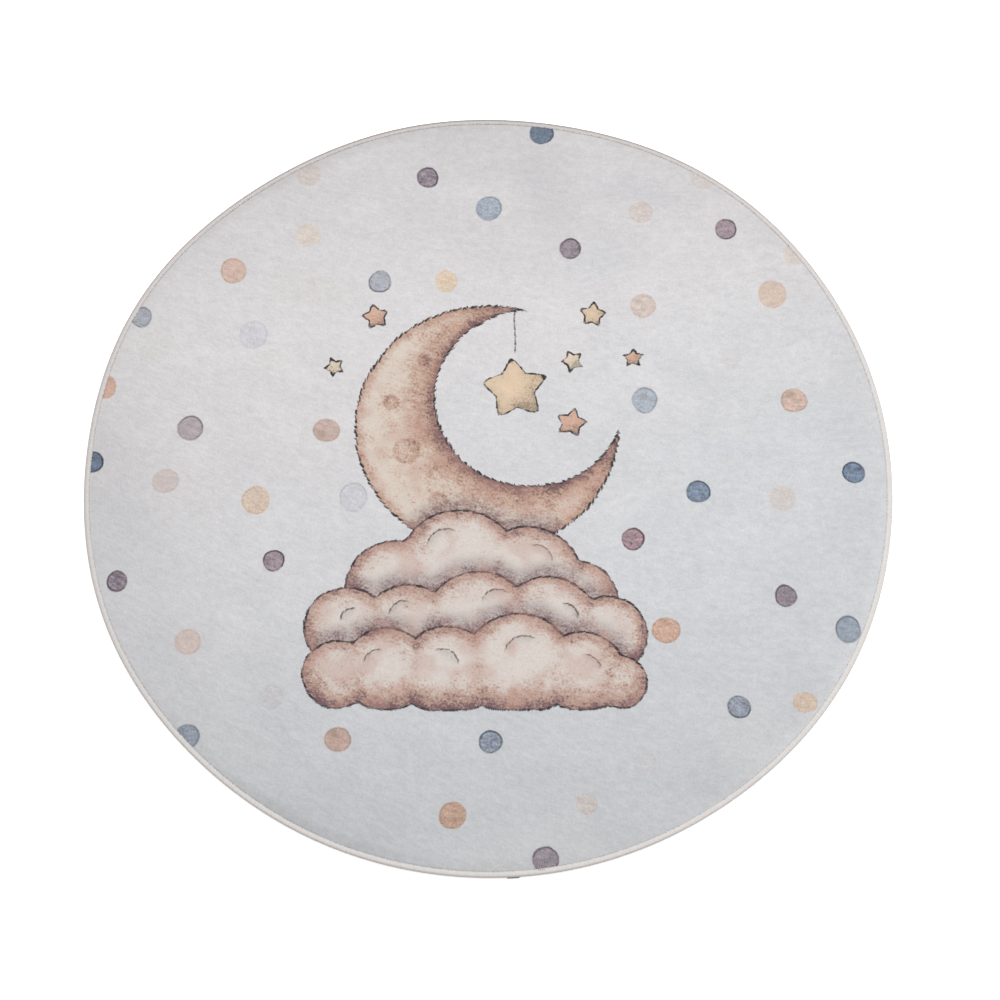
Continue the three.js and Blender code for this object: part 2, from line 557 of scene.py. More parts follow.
def pile_grain_group():
    """Crossed threads under a short nap: their height, and the tone that they give to ink."""
    group, bench, (place, size), outputs = new_group(
        "Pile grain", {"Place": "Vector", "Size": "Float"}, {"Height": "Float", "Tone": "Float"},
    )
    fine = bench.scaled(place, 1.0 / size)
    weft, warp = [
        bench.noise(bench.stretched(fine, thread.stretch, thread.turn), thread.noise)[0]
        for thread in PILE_THREADS
    ]
    height = (weft + warp) / 2
    bench.feed(outputs["Height"], height)
    bench.feed(outputs["Tone"], bench.ramp(height, 0.3, 0.7))
    return group


def yarn_twist_group():
    """Fine fibres laid in a twist round a yarn."""
    group, bench, (lay, fibres), outputs = new_group(
        "Yarn twist", {"Lay": "Vector", "Fibres": "Float"}, {"Height": "Float"},
    )
    cosine, sine, run = bench.split(lay)
    angle = run * fibres
    ply = bench.maths("SINE", angle) * cosine + bench.maths("COSINE", angle) * sine
    bench.feed(outputs["Height"], bench.ramp(abs(ply), 0.0, 0.8))
    return group


def pencil_group():
    """A pencil line along an edge, in short strokes that each slide across it."""
    names = ("Distance", "Run", "Width", "Slide", "Wander", "Grain")
    group, bench, (distance, run, width, slide, wander, grain), outputs = new_group(
        "Pencil line", dict.fromkeys(names, "Float"), {"Mask": "Float"},
    )
    stroke = bench.maths("FRACT", run / STROKE_LENGTH + wander * 2.5)
    pressure = bench.ramp(wander, 0.28, 0.6)
    reach = width * (pressure * 0.7 + 0.45)
    rough = abs(distance + (stroke - 0.5) * slide) + (grain - 0.5) * width * 0.9
    line = bench.ramp(rough / reach, 1.05, 0.45)
    ends = bench.ramp(abs(stroke - 0.5), 0.5, 0.34)
    bench.feed(outputs["Mask"], line * (ends * 0.45 + 0.55) * (pressure * 0.3 + 0.7))
    return group


def wash_group():
    """A watercolour fill of three tones: pigment gathers at its edge and shade side, and clouds inside."""
    colours = dict.fromkeys(("Under", "Light", "Middle", "Deep"), "Color")
    amounts = dict.fromkeys(("Inside", "Shade", "Mottle"), "Float")
    group, bench, (under, light, middle, deep, inside, shade, mottle), outputs = new_group(
        "Watercolour fill", colours | amounts, {"Colour": "Color"},
    )
    edge = bench.ramp(inside, 20 * MM, 0.0)
    pigment = edge * 0.44 + shade + (mottle - 0.5) * 1.15
    thin = bench.mix(bench.ramp(pigment, 0.0, 0.62), light, middle)
    thick = bench.mix(bench.ramp(pigment + (mottle - 0.5) * 0.6, 0.5, 1.25), thin, deep)
    bench.feed(outputs["Colour"], bench.mix(bench.covered(inside), under, thick))
    return group


class Page(Bench):
    """The printed face: its flat place, the place as a hand drew it, and the noises of its nap."""

    def __init__(self, tree, groups):
        super().__init__(tree)
        self.groups = groups
        x, y, _ = self.split(self.object_place())
        self.flat = self.join(x, y)
        self.wobble = self.jitter(WOBBLE)
        self.tremble = self.jitter(TREMBLE)
        wobbled = self.scaled(self.wobble, WOBBLE_DRIFT)
        drift = self.vector("ADD", wobbled, self.scaled(self.tremble, TREMBLE_DRIFT))
        self.drawn = self.vector("MULTIPLY", self.vector("ADD", self.flat, drift), (1.0, 1.0, 0.0))
        sway = self.split(self.wobble)[1]
        across = y + x * NAP_SLOPE - x * x * NAP_BEND - x * y * NAP_FAN + sway * NAP_SWAY
        self.wander, _ = self.noise(self.flat, WANDER)
        self.grain, _ = self.noise(self.flat, GRAIN)
        self.streak, _ = self.noise(self.join(x / STREAK_STRETCH, across), STREAK)
        self.brushed, _ = self.noise(self.join(x / BRUSHED_STRETCH, across), BRUSHED)
        self.mottle = self.noise(self.flat, MOTTLE)[0] + self.swing(grain=1.1, streak=1.0)

    def swing(self, **reaches):
        """The sum of some of these noises about zero, each times its own reach."""
        return sum((getattr(self, name) - 0.5) * reach for name, reach in reaches.items())

    def jitter(self, kind):
        """A noise in all directions, about zero."""
        return self.vector("SUBTRACT", self.noise(self.flat, kind)[1], (0.5, 0.5, 0.5))

    def from_middle(self, x, y):
        """The drawn place seen from a middle: how far to the right, how far up, and its distance."""
        offset = self.vector("SUBTRACT", self.drawn, self.join(x, y))
        right, up, _ = self.split(offset)
        return right, up, self.length(offset)

    def from_disc(self, disc):
        """How far inside a disc the drawn place is, and how far round its edge."""
        right, up, reach = self.from_middle(disc.x * MM, disc.y * MM)
        return disc.radius * MM - reach, self.maths("ARCTAN2", right, up) * (disc.radius * MM)

    def pencil(self, distance, run, line):
        """The mask of a pencil line along an edge."""
        return self.place_group(
            self.groups["pencil"], distance=distance, run=run, width=line.width, slide=line.slide,
            wander=self.wander, grain=self.grain,
        )[0]

    def wash(self, under, inks, inside, shade):
        """A watercolour fill, light to deep, inside an edge, over what is there."""
        light, middle, deep = inks
        return self.place_group(
            self.groups["wash"], under=under, light=light, middle=middle, deep=deep, inside=inside,
            shade=shade, mottle=self.mottle,
        )[0]


def painted_ground(page):
    """The pale near-white ground, cooler right and below, with brushed streaks, soft patches, painted light
    and shade.
    """
    slow, _ = page.noise(page.flat, SLOW)
    cloudy, _ = page.noise(page.flat, CLOUDY)
    x, y, _ = page.split(page.flat)
    warmth = page.ramp(y * 0.9 - x * 0.45 + (slow - 0.5) * 0.5 + (cloudy - 0.5) * 0.25, -0.26, 0.32)
    ground = page.mix(warmth, GROUND_PAINTS["cool"], GROUND_PAINTS["warm"])
    # Soft patches: stains in the print, and painted shade and painted light
    soft_patch, _, strength = page.held("soft_patch")
    ground = page.mix(strength * (cloudy * 1.6 + 0.2), ground, soft_patch)
    veins = page.ramp(abs(page.brushed - 0.5), 0.035, 0.0) * page.ramp(slow, 0.42, 0.62)
    ground = page.mix(veins * 0.12, ground, GROUND_PAINTS["vein"])
    # Painted shade towards the rim, the top and the foot
    dark = page.shaded(page.length(page.flat), RIM_SHADE) + page.shaded(y, TOP_SHADE)
    dark = dark + page.shaded(y, FOOT_SHADE)
    brushing = (cloudy - 0.5) * 0.11 + page.swing(brushed=0.13, wander=0.12)
    # Painted light and shade on the nap beside the binding, by direction
    edge_light_and_shade, _, _ = page.split(page.held("painted_edge_light")[1])
    return page.scaled(ground, 1.0 + brushing - dark + edge_light_and_shade)


def painted_dots(page, ground):
    """The dot that each face is nearest to: an oval of mottled ink, its drawn rim darker on one side."""
    ink, _, rim = page.held("dot_ink")
    _, middle, high = page.held("dot_place")
    x, y, wide = page.split(middle)
    cover, dark_x, dark_y = page.split(page.held("dot_hand")[1])
    right, up, _ = page.from_middle(x, y)
    right = right / wide
    up = up / high
    inside = (1.0 - page.length(page.join(right, up))) * wide
    strength = rim * 0.75 + 0.3
    tint = page.vector("ADD", page.scaled(page.tremble, strength * 0.35), (1.0, 1.0, 1.0))
    mottled = page.swing(streak=1.5, grain=1.5, wander=0.9) * strength + 1.0
    inked = page.scaled(page.vector("MULTIPLY", ink, tint), mottled)
    dotted = page.mix(page.ramp(inside, -1.5 * MM, 1.6 * MM) * cover, ground, inked)
    uneven = page.ramp(page.wander + (right * dark_x + up * dark_y) * 0.16, 0.32, 0.64)
    line = page.ramp(abs(inside - 1.2 * MM), 2.1 * MM, 0.3 * MM) * rim * (uneven * 0.75 + 0.25)
    return page.mix(line * 0.95, dotted, page.scaled(ink, 0.34))


def painted_blots(page, ground):
    """The blot that each face is nearest to."""
    x, y, radius = page.split(page.held("blot_place")[1])
    within = radius - page.from_middle(x, y)[2]
    blotted = page.ramp(within, -4 * MM, 5 * MM) * page.ramp(page.grain, 0.3, 0.6)
    return page.mix(blotted * 0.55, ground, BLOT_INK)


def painted_thread(page, ground):
    """The pencilled thread that the largest star hangs on, from the upper horn of the moon."""
    x, y, _ = page.split(page.drawn)
    beyond = page.maths("MAXIMUM", y - THREAD_TOP, THREAD_FOOT - y)
    distance = page.maths("MAXIMUM", abs(x - STARS[0].x * MM), beyond)
    return page.mix(page.pencil(distance, y, THREAD_LINE) * 0.8, ground, PENCIL)


def painted_stars(page, ground):
    """The star that each face is nearest to: five rounded points, folded from one half point."""
    ink, _, turn = page.held("star_ink")
    x, y, size = page.split(page.held("star_place")[1])
    right, up, reach = page.from_middle(x, y)
    fold = page.maths("PINGPONG", page.maths("ARCTAN2", right, up) + turn, math.pi / 5)
    ahead = page.maths("COSINE", fold) * reach
    aside = page.maths("SINE", fold) * reach
    aside = page.maths("SQRT", aside * aside + size * size * STAR_ROUNDNESS)
    waist_x = STAR_WAIST * math.sin(math.pi / 5)
    waist_y = STAR_WAIST * math.cos(math.pi / 5)
    side = math.hypot(waist_x, 1 - waist_y)
    inside = (size - ahead) * (waist_x / side) - aside * ((1 - waist_y) / side)
    shade = page.ramp((right * 0.6 - up * 0.8) / size, -0.5, 0.8) * 0.6
    filled = page.wash(ground, (page.scaled(ink, 1.16), ink, page.scaled(ink, 0.5)), inside, shade)
    return page.mix(page.pencil(inside, reach, STAR_LINE), filled, PENCIL)


def painted_moon(page, ground):
    """The crescent: a disc with a bite, with craters, drawn edges, and hatching on its inner side.
    Also gives where it is painted."""
    round_inside, round_run = page.from_disc(MOON)
    bitten, bite_run = page.from_disc(MOON_BITE)
    unbitten = 0 - bitten
    inside = page.maths("SMOOTH_MIN", round_inside, unbitten, 7 * MM)
    shade = page.ramp(bitten, -75 * MM, 0.0) * 0.5 + 0.16 - page.ramp(round_inside, 70 * MM, 8 * MM) * 0.12
    for crater in CRATERS:
        hollow, _ = page.from_disc(crater)
        ring = page.ramp(hollow, -3 * MM, 3 * MM) * (0.34 - page.ramp(hollow, 2 * MM, 12 * MM) * 0.22)
        shade = shade + ring
    filled = page.wash(ground, MOON_INKS, inside, shade)
    strokes = page.ramp(page.maths("SINE", bite_run / (1.1 * MM) + page.wander * 24), 0.35, 0.95)
    reach = page.ramp(unbitten + (page.wander - 0.5) * 40 * MM, 20 * MM, 2 * MM)
    hatch = strokes * reach * page.ramp(inside, 0.0, 1.5 * MM)
    hatched = page.mix(hatch * 0.45, filled, MOON_INKS[2])
    outer = page.pencil(round_inside, round_run, MOON_LINE) * page.ramp(unbitten, -2 * MM, 1 * MM)
    inner = page.pencil(unbitten, bite_run, MOON_LINE) * page.ramp(round_inside, -2 * MM, 1 * MM)
    return page.mix(page.maths("MAXIMUM", outer, inner), hatched, PENCIL), page.covered(inside)


def painted_bank(page, ground, painted, lobes):
    """One bank of cloud: round lobes over a flat foot, and the shade it throws on what is painted behind it.
    Also gives where the picture is painted."""
    inside, _ = page.from_disc(lobes[0])
    for lobe in lobes[1:]:
        inside = page.maths("SMOOTH_MAX", inside, page.from_disc(lobe)[0], 9 * MM)
    _, y, _ = page.split(page.drawn)
    inside = page.maths("SMOOTH_MIN", inside, y - CLOUD_FOOT, 14 * MM)
    thrown = page.ramp(inside, -34 * MM, 0.0) * painted
    behind = page.mix(thrown * ((page.mottle - 0.5) * 1.4 + 0.68), ground, CLOUD_INKS[2])
    low = page.ramp(y, lobes[0].y * MM + 20 * MM, CLOUD_FOOT)
    shade = 0.29 + low * 0.40 - page.ramp(inside, 8 * MM, 48 * MM) * 0.36
    filled = page.wash(behind, CLOUD_INKS, inside, shade)
    line = page.pencil(inside, page.from_disc(CLOUD_MIDDLE)[1], CLOUD_LINE)
    return page.mix(line, filled, PENCIL), page.maths("MAXIMUM", painted, page.covered(inside))


def painted_curls(page, ground):
    """The curl that each face is nearest to: a short pencilled arc on the clouds, with soft shade inside."""
    _, centre, middle = page.held("curl_place")
    x, y, radius = page.split(centre)
    right, up, reach = page.from_middle(x, y)
    inside = radius - reach
    angle = page.maths("ARCTAN2", right, up)
    shown = page.ramp(abs(angle - middle), CURL_REACH, CURL_REACH * 0.6)
    shade = page.ramp(inside, 16 * MM, 0.0) * page.ramp(inside, -1 * MM, 1 * MM) * shown
    shaded = page.mix(shade * 0.22, ground, CLOUD_INKS[2])
    return page.mix(page.pencil(inside, angle * radius, CURL_LINE) * shown * 0.8, shaded, PENCIL)


def set_inputs(node, values):
    for name, value in values.items():
        node.inputs[name].default_value = value


def new_material(name, settings):
    """A cloth-like material, and its shader with these settings."""
    material = bpy.data.materials.new(name)
    material.use_nodes = True
    shader = material.node_tree.nodes["Principled BSDF"]
    set_inputs(shader, {"Specular IOR Level": 0.2, **settings})
    return material, shader


def printed_pile(groups):
    """The cloth's upper face: the whole print, soft in the nap."""
    settings = {"Roughness": 0.95, "Sheen Weight": 0.25, "Sheen Roughness": 0.45}
    material, shader = new_material("printed_pile", settings)
    page = Page(material.node_tree, groups)
    height, nap = page.place_group(groups["grain"], place=page.flat, size=PILE_GRAIN_SIZE)
    colour = painted_ground(page)
    for layer in (painted_dots, painted_blots, painted_thread, painted_stars):
        colour = layer(page, colour)
    colour, painted = painted_moon(page, colour)
    for lobes in CLOUD_BANKS:
        colour, painted = painted_bank(page, colour, painted, lobes)
    colour = painted_curls(page, colour)
    blush = painted * page.ramp(page.split(page.wobble)[0], -0.04, 0.16)
    colour = page.mix(blush * 0.35, colour, BLUSH)
    rough = page.swing(grain=painted * 0.14 + 0.16, streak=0.31) + (nap - 0.5) * 0.09
    page.feed(shader.inputs["Base Color"], page.scaled(colour, (rough + 1.0) * PRINT_BRIGHTNESS))
    page.bump(shader, height + page.streak, PILE_RELIEF)
    return material


def woven_backing(groups):
    """The underside and the rim: plain unprinted woven backing."""
    material, shader = new_material("woven_backing", {"Roughness": 0.95})
    bench = Bench(material.node_tree)
    height, tone = bench.place_group(groups["grain"], place=bench.object_place(), size=BACKING_GRAIN_SIZE)
    colour = bench.mix(tone, BACKING_PAINTS["hollow"], BACKING_PAINTS["raised"])
    bench.feed(shader.inputs["Base Color"], colour)
    bench.bump(shader, height, BACKING_RELIEF)
    return material


def yarn(groups, name):
    """Twisted yarn, with painted shade on the flank and underside where it meets the floor."""
    material, shader = new_material(name, {"Roughness": 0.82, "Sheen Weight": 0.15})
    bench = Bench(material.node_tree)
    look = YARNS[name]
    shade_depth, turn_tone, _ = bench.split(bench.held("yarn_shade_and_tone")[1])
    height, = bench.place_group(groups["twist"], lay=bench.held("yarn_lay")[1], fibres=look.twist)
    # Painted shade: the flank paint mixed in by the depth of the shade
    colour = bench.mix(shade_depth, look.top, look.flank)
    lightness = 0.91 + turn_tone * 0.05 + height * 0.05
    bench.feed(shader.inputs["Base Color"], bench.scaled(colour, lightness))
    bench.bump(shader, height, YARN_RELIEF)
    return material


def wave_terms(angles):
    """One, and the cosine and sine of each wave, at each angle."""
    angles = np.atleast_1d(angles)
    around = angles[:, None] * np.arange(1, OUTLINE_WAVES + 1)
    return np.hstack([np.ones((len(angles), 1)), np.cos(around), np.sin(around)])


def outline_fit(node):
    """The rug's outer radius as a mean and a few slow waves, fitted to the widest ring of the model."""
    x, y, _ = np.array([vertex.co for vertex in node.data.vertices], float).T
    angles = np.arctan2(y, x)
    radii = np.hypot(x, y)
    sector = np.round(angles / TURN * OUTLINE_SECTORS).astype(int) % OUTLINE_SECTORS
    inside = [np.flatnonzero(sector == s) for s in range(OUTLINE_SECTORS)]
    widest = [points[np.argmax(radii[points])] for points in inside]
    return np.linalg.lstsq(wave_terms(angles[widest]), radii[widest], rcond=None)[0]


OUTLINE = outline_fit(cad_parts["edge_binding"])
CLOTH_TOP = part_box("pile_cloth")[1].z


def outer_radius(angles):
    """The rug's outer radius at each angle."""
    return wave_terms(angles) @ OUTLINE


def level(angles):
    """Level unit vectors that point at these angles."""
    return np.stack([np.cos(angles), np.sin(angles), np.zeros_like(angles)], axis=-1)


def on_rug(angles, insets, heights):
    """Points so far in from the rug's outer edge, at these angles and heights. The arrays share one shape."""
    angles, insets, heights = np.broadcast_arrays(angles, insets, heights)
    radii = outer_radius(angles.ravel()).reshape(angles.shape) - insets
    return np.stack([radii * np.cos(angles), radii * np.sin(angles), heights], axis=-1)


def add_object(name, data):
    """A new object in the scene."""
    made = bpy.data.objects.new(name, data)
    bpy.context.scene.collection.objects.link(made)
    return made


def add_mesh(name, places, faces, materials, face_material=0):
    """A mesh object, with smooth faces, from an array of points and a list of faces."""
    mesh = bpy.data.meshes.new(name)
    mesh.from_pydata(places.tolist(), [], faces)
    for material in materials:
        mesh.materials.append(material)
    count = len(mesh.polygons)
    mesh.polygons.foreach_set("material_index", np.broadcast_to(face_material, count).astype(np.int32))
    mesh.polygons.foreach_set("use_smooth", np.ones(count, bool))
    mesh.update()
    return add_object(name, mesh)


def hold(mesh, name, values):
    """Writes vectors, or colours of four parts, on a mesh, one for each of its points or faces."""
    values = np.asarray(values, np.float32)
    values = values.reshape(-1, values.shape[-1])
    kind, key = ("FLOAT_COLOR", "color") if values.shape[1] == 4 else ("FLOAT_VECTOR", "vector")
    domain = "POINT" if len(values) == len(mesh.vertices) else "FACE"
    mesh.attributes.new(name, kind, domain).data.foreach_set(key, values.ravel())


def set_bake_map(mesh, corner_places):
    """A map of the surface on a unit square, one place for each corner, for when its paint is baked."""
    layer = mesh.uv_layers.new(name="OFBake")
    layer.uv.foreach_set("vector", np.asarray(corner_places, np.float32).ravel())


def disc_points_and_faces(rings):
    """A disc of nearly even triangles: ring k has 6k points. Points come as angle and share of the radius."""
    angles = [np.zeros(1)]
    shares = [np.zeros(1)]
    faces = []
    for ring in range(1, rings + 1):
        count = 6 * ring
        around = np.arange(count)
        angles.append(around * TURN / count)
        shares.append(np.full(count, ring / rings))
        first = 1 + 3 * ring * (ring - 1)
        inner_first = 1 + 3 * (ring - 1) * (ring - 2) if ring > 1 else 0
        inner_count = max(6 * (ring - 1), 1)
        sector, step = np.divmod(around, ring)
        outer = first + around
        outer_next = first + (around + 1) % count
        inner = inner_first + (sector * (ring - 1) + step) % inner_count
        inner_next = inner_first + (sector * (ring - 1) + step + 1) % inner_count
        faces.append(np.stack([inner, outer, outer_next], 1))
        paired = step < ring - 1
        faces.append(np.stack([inner, outer_next, inner_next], 1)[paired])
    return np.concatenate(angles), np.concatenate(shares), np.concatenate(faces)


def skirt_faces(first, around, strips, last):
    """Faces from a ring of points to the next, for so many strips, and from the final ring to one point."""
    ring = np.arange(around)
    ring_next = (ring + 1) % around
    faces = []
    for start in first + around * np.arange(strips):
        here, beside = start + ring, start + ring_next
        below, below_beside = here + around, beside + around
        faces += [np.stack([here, below, below_beside], 1), np.stack([here, below_beside, beside], 1)]
    start = first + around * strips
    faces.append(np.stack([start + ring, np.full(around, last), start + ring_next], 1))
    return np.concatenate(faces)


def surface_height(x, y):
    """The slight unevenness of a cloth that lies free: slow swells and the lie of the nap."""
    rng = np.random.default_rng(SURFACE_SEED)
    height = np.zeros_like(x)
    for waves in SURFACE_WAVES:
        for _ in range(waves.count):
            length = rng.uniform(waves.shortest, waves.longest)
            direction = rng.uniform(0, TURN)
            phase = rng.uniform(0, TURN)
            along = x * math.cos(direction) + y * math.sin(direction)
            height += waves.height / waves.count * np.sin(along * TURN / length + phase)
    return height


def columns(rows, names):
    """Some columns of a table, as an array."""
    return np.array([[getattr(row, name) for name in names.split()] for row in rows], float)


def inked(rows, inks, last):
    """The ink of each row of a table, with one more number in the place of its strength."""
    return np.hstack([[inks[row.ink][:3] for row in rows], last])


def nearest(rows, reach, x, y):
    """For each place, the number of the row whose edge is nearest."""
    gaps = [np.hypot(x - row.x * MM, y - row.y * MM) - getattr(row, reach) * MM for row in rows]
    return np.argmin(gaps, axis=0)


def hold_print(mesh, faces, places):
    """Gives each face its nearest dot, blot, star and curl, and each point its soft patch and its painted
    light and shade beside the binding.
    """
    x, y, _ = places[faces].mean(axis=1).T
    dot = nearest(DOTS, "wide", x, y)
    dark = np.radians(columns(DOTS, "dark"))
    hold(mesh, "dot_place", columns(DOTS, "x y wide high")[dot] * MM)
    hold(mesh, "dot_ink", inked(DOTS, INKS, columns(DOTS, "rim"))[dot])
    hold(mesh, "dot_hand", np.hstack([columns(DOTS, "cover"), np.cos(dark), np.sin(dark)])[dot])
    blot = nearest(BLOTS, "radius", x, y)
    hold(mesh, "blot_place", columns(BLOTS, "x y radius")[blot] * MM)
    star = nearest(STARS, "size", x, y)
    hold(mesh, "star_place", columns(STARS, "x y size")[star] * MM)
    hold(mesh, "star_ink", inked(STARS, STAR_INKS, np.radians(columns(STARS, "turn")))[star])
    curls = columns(CURLS, "x y radius") * MM
    middle = np.radians(columns(CURLS, "middle"))
    arc = curls[:, :2] + curls[:, 2:] * np.hstack([np.sin(middle), np.cos(middle)])
    curl = np.argmin(np.hypot(x[:, None] - arc[:, 0], y[:, None] - arc[:, 1]), axis=1)
    hold(mesh, "curl_place", np.hstack([curls, middle])[curl])
    x, y, _ = places.T
    hold(mesh, "soft_patch", soft_patch_at(x, y))
    hold(mesh, "painted_edge_light", painted_edge_light_at(x, y)[:, None] * (1, 1, 1))


def painted_edge_light_at(x, y):
    """How much lighter or darker the nap is painted at each place beside the binding: painted light and shade
    by direction.
    """
    around = np.arctan2(y, x)
    insets = outer_radius(around) - np.hypot(x, y)
    angles, crease, beyond = columns(EDGE_LIGHT_AND_SHADE, "angle crease beyond").T
    crease = np.interp(around, np.radians(angles), crease, period=TURN)
    beyond = np.interp(around, np.radians(angles), beyond, period=TURN)
    in_crease = np.interp(insets, [CREASE_END, BEYOND_START], [1, 0])
    in_beyond = np.interp(insets, [CREASE_END, BEYOND_START, BEYOND_FADE, BEYOND_END], [0, 1, 1, 0])
    return crease * in_crease + beyond * in_beyond


def soft_patch_at(x, y):
    """The mixed ink of the soft patches at each place, and how strong it is: print stains, painted shade and
    light.
    """
    total = np.zeros((len(x), 3))
    weight = np.full(len(x), FAINTEST_PATCH)
    for soft_patch in SOFT_PATCHES:
        turn = math.radians(soft_patch.turn)
        dx, dy = x - soft_patch.x * MM, y - soft_patch.y * MM
        along = (dx * math.cos(turn) + dy * math.sin(turn)) / (soft_patch.wide * MM)
        across = (dy * math.cos(turn) - dx * math.sin(turn)) / (soft_patch.high * MM)
        share = soft_patch.strength * np.exp(-(along ** 2 + across ** 2))
        total += share[:, None] * np.array(PATCH_INKS[soft_patch.ink][:3])
        weight += share
    return np.column_stack([total / weight[:, None], np.minimum(weight, 1.0)])


def cloth_map(disc, turn, faces, face_under):
    """The cloth on a unit square: the printed face large in one corner, the underside small in the other."""
    circle = level(turn)[:, :2]
    steps = np.linalg.norm(np.diff([(SHOULDER_INSET, CLOTH_TOP), *CLOTH_RIM], axis=0), axis=1)
    out = 1 + np.cumsum(steps) / (outer_radius(turn).mean() - SHOULDER_INSET)
    below = [circle * share for share in UNDERSIDE_RINGS] + [np.zeros((1, 2))]
    seen_above = np.concatenate([disc, *[circle * reach for reach in out], *below]) / out[-1]
    seen_below = np.concatenate([disc, *[circle] * len(out), *below])
    above = TOP_CELL[:2] + seen_above * TOP_CELL.radius
    under = UNDER_CELL[:2] + seen_below * UNDER_CELL.radius
    return np.where(face_under[:, None, None], under[faces], above[faces])


def build_cloth(groups):
    """The cloth as one skin: its printed face with rounded shoulder, its squeezed rim, its flat underside."""
    angles, shares, disc_faces = disc_points_and_faces(TOP_RINGS)
    radii = shares * (outer_radius(angles) - SHOULDER_INSET)
    x, y = radii * np.cos(angles), radii * np.sin(angles)
    fade = np.clip((1 - shares) * SURFACE_FADE, 0, 1)
    top = np.column_stack([x, y, CLOTH_TOP + surface_height(x, y) * fade])
    around = 6 * TOP_RINGS
    turn = np.arange(around) * TURN / around
    rim = [on_rug(turn, point.inset, point.height) for point in CLOTH_RIM]
    below = [rim[-1] * share for share in UNDERSIDE_RINGS]
    places = np.concatenate([top, *rim, *below, np.zeros((1, 3))])
    skirt = skirt_faces(len(top) - around, around, len(rim) + len(below), len(places) - 1)
    faces = np.concatenate([disc_faces, skirt])
    strip = (np.arange(len(faces)) - len(disc_faces)) // (2 * around)
    materials = [printed_pile(groups), woven_backing(groups)]
    cloth = add_mesh("printed_pile_cloth", places, faces.tolist(), materials, strip >= PRINTED_STRIPS)
    hold_print(cloth.data, faces, places)
    disc = shares[:, None] * level(angles)[:, :2]
    set_bake_map(cloth.data, cloth_map(disc, turn, faces, strip >= STRIPS_ABOVE))
    return cloth


def tube_grid(runs, rings, sides):
    """The tube, the ring and the side of each wall face of many separate tubes, by number."""
    return np.meshgrid(np.arange(runs), np.arange(rings - 1), np.arange(sides), indexing="ij")


def tube_faces(runs, rings, sides):
    """Faces of many tubes, capped at both ends, whose points run by tube, then ring, then side."""
    run, ring, side = tube_grid(runs, rings, sides)
    here = (run * rings + ring) * sides + side
    beside = (run * rings + ring) * sides + (side + 1) % sides
    walls = np.stack([here, beside, beside + sides, here + sides], axis=-1).reshape(-1, 4)
    base = (np.arange(runs) * rings * sides)[:, None]
    start_caps = base + np.arange(sides)[::-1]
    end_caps = base + (rings - 1) * sides + np.arange(sides)
    return walls.tolist() + start_caps.tolist() + end_caps.tolist()


def tube_bake_map(runs, rings, sides):
    """Corner places on the unit square: every tube unrolled in a cell, its caps in the cell's corner."""
    cells = math.ceil(math.sqrt(runs))
    run, ring, side = tube_grid(runs, rings, sides)
    corner_side = np.stack([side, side + 1, side + 1, side], axis=-1) / sides
    corner_ring = np.stack([ring, ring, ring + 1, ring + 1], axis=-1) / (rings - 1)
    row, column = np.divmod(run[..., None], cells)
    u = column + CELL_MARGIN + corner_side * (1 - 2 * CELL_MARGIN)
    v = row + CELL_MARGIN + corner_ring * (1 - 2 * CELL_MARGIN)
    walls = np.stack([u, v], axis=-1).reshape(-1, 2)
    row, column = np.divmod(np.repeat(np.arange(runs), sides), cells)
    turn = np.tile(np.arange(sides), runs) * TURN / sides
    caps = np.column_stack([column, row]) + CAP_SPOT[:2] + CAP_SPOT.radius * level(turn)[:, :2]
    return np.concatenate([walls, caps, caps]) / cells


def add_tubes(name, middles, sideways, width, thickness, sides, tones, material):
    """One object of many tubes along rows of middles, holding the lay of their fibres and their tones.
    Sideways is each middle's direction of width."""
    runs, rings, _ = middles.shape
    ahead = np.gradient(middles, axis=1)
    ahead /= np.linalg.norm(ahead, axis=-1, keepdims=True)
    outward = np.cross(sideways, ahead)
    outward /= np.linalg.norm(outward, axis=-1, keepdims=True)
    turn = (np.arange(sides) + 0.5) * TURN / sides
    half_width = np.broadcast_to(width / 2, (runs, rings))[..., None, None]
    wide = half_width * np.cos(turn)[:, None] * sideways[:, :, None, :]
    thick = thickness / 2 * np.sin(turn)[:, None] * outward[:, :, None, :]
    points = middles[:, :, None, :] + wide + thick
    made = add_mesh(name, points.reshape(-1, 3), tube_faces(runs, rings, sides), [material])
    step = np.linalg.norm(np.diff(points.mean(axis=2), axis=1), axis=-1)
    run = np.concatenate([np.zeros((runs, 1)), np.cumsum(step, axis=1)], axis=1)
    lay = np.stack(np.broadcast_arrays(np.cos(turn), np.sin(turn), run[:, :, None]), axis=-1)
    hold(made.data, "yarn_lay", lay)
    hold(made.data, "yarn_shade_and_tone", np.broadcast_to(tones[:, :, None, :], points.shape))
    set_bake_map(made.data, tube_bake_map(runs, rings, sides))
    return made


def tones_of(angles, shade_depth, tone):
    """For each point of some tubes, how deep its painted shade is and how light its turn of yarn."""
    return np.stack(np.broadcast_arrays(shade_depth, tone, np.zeros(angles.shape)), axis=-1)


def wrap_depth(angles, insets, heights):
    """How deep in painted shade each point of the wraps is. Underneath they are all in painted shade."""
    def between(pair):
        """A value that goes from the rug's near side to its far side."""
        return pair.near + (pair.far - pair.near) * (1 + np.sin(angles)) / 2

    from_ease = (angles - JOIN_ANGLE - SHADE_EASE_ANGLE) / SHADE_EASE_REACH
    facing = 1 - SHADE_EASE * np.exp(-from_ease ** 2)
    whole = between(SHADE_ALL_OVER)
    upright = SHADE_LINE_SIDEWAYS + (1 - SHADE_LINE_SIDEWAYS) * np.sin(angles) ** 2
    fading = np.interp(insets / between(SHADE_LINE_END), [0.5, 1.0], [1, 0])
    line = (between(SHADE_LINE) * upright - whole) * fading
    hole = between(SHADE_AT_HOLES) * np.interp(insets, [HOLE_START, HOLE_END], [0, 1])
    return np.where(heights < UNDER_HEIGHT, 1, facing * (whole + line + hole))


